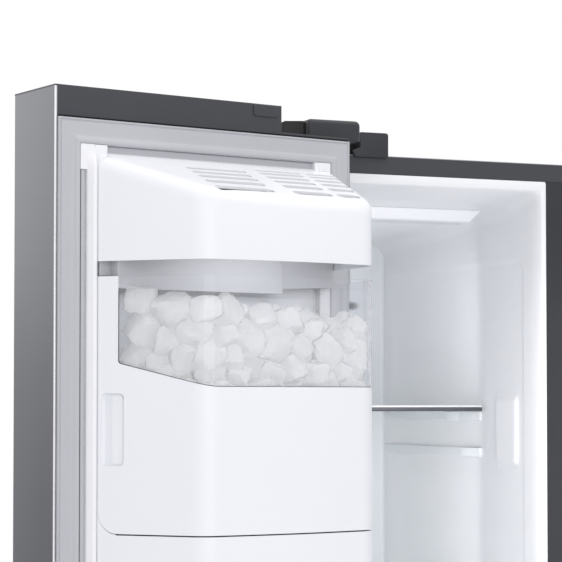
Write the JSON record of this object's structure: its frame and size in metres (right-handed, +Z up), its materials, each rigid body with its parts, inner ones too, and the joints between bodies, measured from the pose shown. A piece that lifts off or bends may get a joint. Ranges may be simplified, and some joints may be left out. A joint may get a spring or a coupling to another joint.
{
  "type": "side by side refrigerator",
  "caption": "Tall two-door side by side refrigerator, both doors open, with an ice maker and a clear-fronted ice bin on the freezer door",
  "frame": {"origin": "floor level, on the front plane of the cabinet, in the middle of the cabinet's width: the lower middle of the toe grille's face", "axes": "+X to the right seen from the front, +Y into the cabinet, +Z up"},
  "size_m": [1.7423, 0.9254, 1.775],
  "materials": {
    "case_paint": "satin",
    "dark_trim": "satin",
    "foam": "matte",
    "liner_white": "satin",
    "galvanised": "satin",
    "grille_dark": "matte",
    "frame_steel": "satin",
    "foot_black": "matte",
    "hinge_steel": "satin",
    "dark_plastic": "satin",
    "rail_white": "satin",
    "duct_white": "satin",
    "lens": "satin",
    "shelf_glass": "gloss",
    "shelf_trim": "satin",
    "compressor_black": "satin",
    "coil_black": "matte",
    "coil_aluminium": "satin",
    "pan_plastic": "matte",
    "box_grey": "satin",
    "valve_plastic": "satin",
    "motor_black": "satin",
    "fan_white": "satin",
    "fan_black": "satin",
    "roller_nylon": "satin",
    "drawer_clear": "gloss",
    "door_steel": "satin",
    "door_liner_white": "satin",
    "gasket_grey": "matte",
    "bin_clear": "gloss",
    "module_white": "satin",
    "tray_grey": "satin",
    "drive_grey": "satin",
    "window_clear": "gloss",
    "bucket_white": "satin",
    "ice": "gloss",
    "recess_dark": "satin"
  },
  "bodies": {
    "cabinet": {"outer_case": "case_paint", "cabinet_foam": "foam", "freezer_liner": "liner_white", "fridge_liner": "liner_white", "front_frame": "dark_trim", "mullion_plate": "dark_trim", "back_panel": "galvanised", "machine_cover": "frame_steel", "base_frame": "frame_steel", "toe_grille": "grille_dark", "levelling_feet": "foot_black", "door_hinges": "hinge_steel", "hinge_covers": "dark_plastic", "shelf_rails": "rail_white", "duct_panels": "duct_white", "cabinet_lights": "lens", "shelf_glass": "shelf_glass", "shelf_trims": "shelf_trim", "compressor": "compressor_black", "condenser": "coil_black", "evaporator": "coil_aluminium", "drain_pan": "pan_plastic", "control_box": "box_grey", "water_valve": "valve_plastic", "fan_motors": "motor_black"},
    "freezer_door": {"freezer_door_skin": "door_steel", "freezer_door_foam": "foam", "freezer_door_liner": "door_liner_white", "freezer_door_caps": "dark_plastic", "freezer_door_gasket": "gasket_grey", "freezer_door_grip": "dark_plastic", "freezer_door_bins": "bin_clear", "ice_maker_cover": "module_white", "ice_drives": "drive_grey", "dispenser_housing": "module_white", "ice_chute": "drive_grey", "dispenser_recess": "recess_dark", "drip_tray": "grille_dark"},
    "fridge_door": {"fridge_door_skin": "door_steel", "fridge_door_foam": "foam", "fridge_door_liner": "door_liner_white", "fridge_door_caps": "dark_plastic", "fridge_door_gasket": "gasket_grey", "fridge_door_grip": "dark_plastic", "fridge_door_bins": "bin_clear"},
    "ice_bin": {"ice_bin_front": "module_white", "ice_window": "window_clear", "ice_bucket": "bucket_white", "ice_load": "ice"},
    "ice_rotor": {"ice_rotor": "tray_grey"},
    "ice_tray": {"ice_tray": "tray_grey"},
    "dispenser_paddle": {"dispenser_paddle": "grille_dark"},
    "freezer_drawer_upper": {"freezer_drawer_upper": "drawer_clear"},
    "freezer_drawer_lower": {"freezer_drawer_lower": "drawer_clear"},
    "crisper_upper": {"crisper_upper": "drawer_clear"},
    "crisper_lower": {"crisper_lower": "drawer_clear"},
    "evaporator_fan": {"evaporator_fan": "fan_white"},
    "condenser_fan": {"condenser_fan": "fan_black"},
    "rear_roller_left": {"rear_roller_left": "roller_nylon"},
    "rear_roller_right": {"rear_roller_right": "roller_nylon"}
  },
  "joints": [
    {"name": "freezer_door_swing", "type": "hinge", "parent": "cabinet", "child": "freezer_door", "pos_m": [-0.437, -0.0582, 0.9], "axis": [0, 0, -1], "range_deg": [-167.6, 2.4]},
    {"name": "fridge_door_swing", "type": "hinge", "parent": "cabinet", "child": "fridge_door", "pos_m": [0.437, -0.0582, 0.9], "axis": [0, 0, 1], "range_deg": [-167.6, 2.4]},
    {"name": "ice_bin_pull", "type": "slide", "parent": "freezer_door", "child": "ice_bin", "axis": [0.2147, -0.9767, 0], "range_m": [0, 0.2]},
    {"name": "ice_rotor_turn", "type": "hinge", "parent": "ice_bin", "child": "ice_rotor", "pos_m": [-0.51112, -0.19142, 1.32], "axis": [0, 0, 1], "continuous": true},
    {"name": "ice_tray_twist", "type": "hinge", "parent": "freezer_door", "child": "ice_tray", "pos_m": [-0.57058, -0.2004, 1.628], "axis": [-0.9767, -0.2147, 0], "range_deg": [0, 160]},
    {"name": "dispenser_paddle_push", "type": "hinge", "parent": "freezer_door", "child": "dispenser_paddle", "pos_m": [-0.61588, -0.0875, 1.155], "axis": [0.9767, 0.2147, 0], "range_deg": [0, 9], "stiffness_Nm_per_rad": 0.2, "springref_deg": -2.86},
    {"name": "freezer_drawer_upper_slide", "type": "slide", "parent": "cabinet", "child": "freezer_drawer_upper", "axis": [0, -1, 0], "range_m": [0, 0.28]},
    {"name": "freezer_drawer_lower_slide", "type": "slide", "parent": "cabinet", "child": "freezer_drawer_lower", "axis": [0, -1, 0], "range_m": [0, 0.2]},
    {"name": "crisper_upper_slide", "type": "slide", "parent": "cabinet", "child": "crisper_upper", "axis": [0, -1, 0], "range_m": [0, 0.28]},
    {"name": "crisper_lower_slide", "type": "slide", "parent": "cabinet", "child": "crisper_lower", "axis": [0, -1, 0], "range_m": [0, 0.2]},
    {"name": "evaporator_fan_spin", "type": "hinge", "parent": "cabinet", "child": "evaporator_fan", "pos_m": [-0.259, 0.49, 0.93], "axis": [0, 1, 0], "continuous": true},
    {"name": "condenser_fan_spin", "type": "hinge", "parent": "cabinet", "child": "condenser_fan", "pos_m": [-0.012, 0.515, 0.14], "axis": [1, 0, 0], "continuous": true},
    {"name": "rear_roller_left_roll", "type": "hinge", "parent": "cabinet", "child": "rear_roller_left", "pos_m": [-0.434, 0.56, 0.016], "axis": [1, 0, 0], "continuous": true},
    {"name": "rear_roller_right_roll", "type": "hinge", "parent": "cabinet", "child": "rear_roller_right", "pos_m": [0.434, 0.56, 0.016], "axis": [1, 0, 0], "continuous": true}
  ]
}
